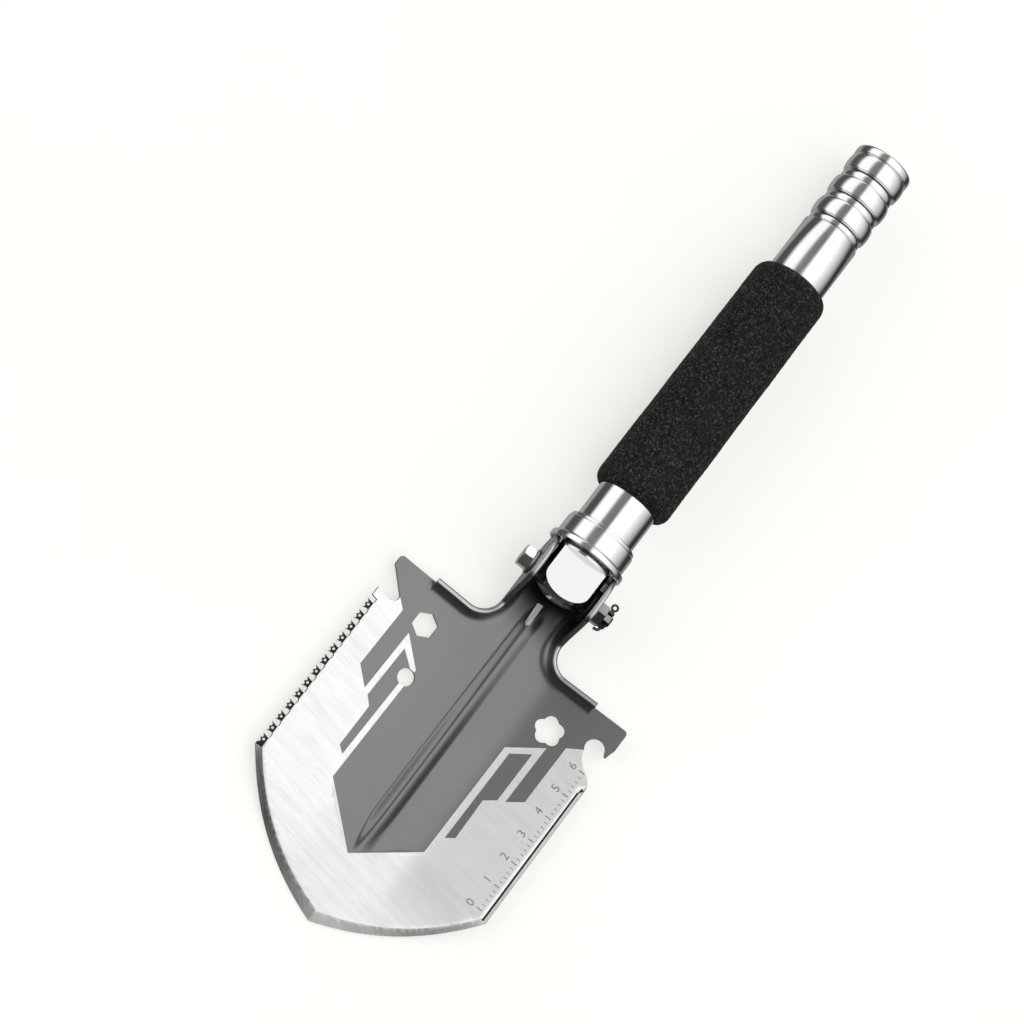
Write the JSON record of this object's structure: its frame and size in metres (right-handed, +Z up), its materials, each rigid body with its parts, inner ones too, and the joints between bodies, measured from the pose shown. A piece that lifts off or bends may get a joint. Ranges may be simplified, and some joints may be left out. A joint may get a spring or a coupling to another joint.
{
  "type": "folding camp shovel",
  "caption": "Compact folding shovel: pressed blade with saw, knife edge, ruler and tool holes, clevis hinge, screw lock collar, foam grip and torch in the tail.",
  "frame": {"origin": "centre of the bounding box's underside: the tool lies on its back, blade face up", "axes": "+X from the blade tip towards the torch end, +Y towards the saw edge, +Z up out of the blade's face"},
  "size_m": [0.35, 0.1044, 0.0316],
  "materials": {
    "blade_steel": "brushed edge bands, satin grey paint on the front with bare stripes",
    "dark_steel": "dark polished steel",
    "bright_plate": "polished bright plating",
    "torch_plate": "polished, fine turning marks",
    "hub_aluminium": "machined, satin",
    "foam": "black closed-cell foam, fine pebbled skin",
    "brass": "turned",
    "black_plastic": "satin moulded",
    "cell_jacket": "plain printed-free sleeve",
    "seal_rubber": "smooth",
    "led_phosphor": "clear dome over yellow phosphor",
    "reflector_mirror": "faceted vacuum-plated cup",
    "lens_glass": "clear flat window"
  },
  "bodies": {
    "handle": {"hinge_block": "hub_aluminium", "pivot_bush": "brass", "side_washer_saw": "black_plastic", "side_washer_knife": "black_plastic", "handle_tube": "bright_plate", "cross_pin": "dark_steel", "foam_grip": "foam", "spring_contact": "brass"},
    "blade": {"blade": "blade_steel", "pivot_bolt": "dark_steel", "head_washer": "bright_plate", "nut_washer": "bright_plate", "castle_nut": "dark_steel", "cotter_pin": "dark_steel"},
    "pressure_ring": {"pressure_ring": "bright_plate"},
    "lock_collar": {"lock_collar": "bright_plate"},
    "battery_carriage": {"battery_sleeve": "black_plastic", "battery_cell": "cell_jacket", "battery_spring": "bright_plate"},
    "torch_head": {"torch_barrel": "torch_plate", "torch_o_ring": "seal_rubber", "driver_housing": "brass", "led_board": "black_plastic", "led_emitter": "led_phosphor", "reflector": "reflector_mirror", "lens_gasket": "seal_rubber", "lens": "lens_glass", "bezel_ring": "black_plastic"}
  },
  "joints": [
    {"name": "blade_fold", "type": "hinge", "parent": "handle", "child": "blade", "pos_m": [-0.026, 0, 0.0158], "axis": [0, 1, 0], "range_deg": [0, 160]},
    {"name": "collar_travel", "type": "slide", "parent": "handle", "child": "pressure_ring", "axis": [1, 0, 0], "range_m": [0, 0.006]},
    {"name": "collar_turn", "type": "hinge", "parent": "pressure_ring", "child": "lock_collar", "pos_m": [-0.006, 0, 0.0158], "axis": [1, 0, 0], "range_deg": [0, 1080]},
    {"name": "torch_travel", "type": "slide", "parent": "handle", "child": "battery_carriage", "axis": [1, 0, 0], "range_m": [0, 0.009]},
    {"name": "torch_turn", "type": "hinge", "parent": "battery_carriage", "child": "torch_head", "pos_m": [0.14, 0, 0.0158], "axis": [1, 0, 0], "range_deg": [0, 2160]}
  ],
  "couplings": [
    {"joint": "collar_travel", "follows": "collar_turn", "m_per_rad": 0.00031831},
    {"joint": "torch_travel", "follows": "torch_turn", "m_per_rad": 0.00023873}
  ]
}
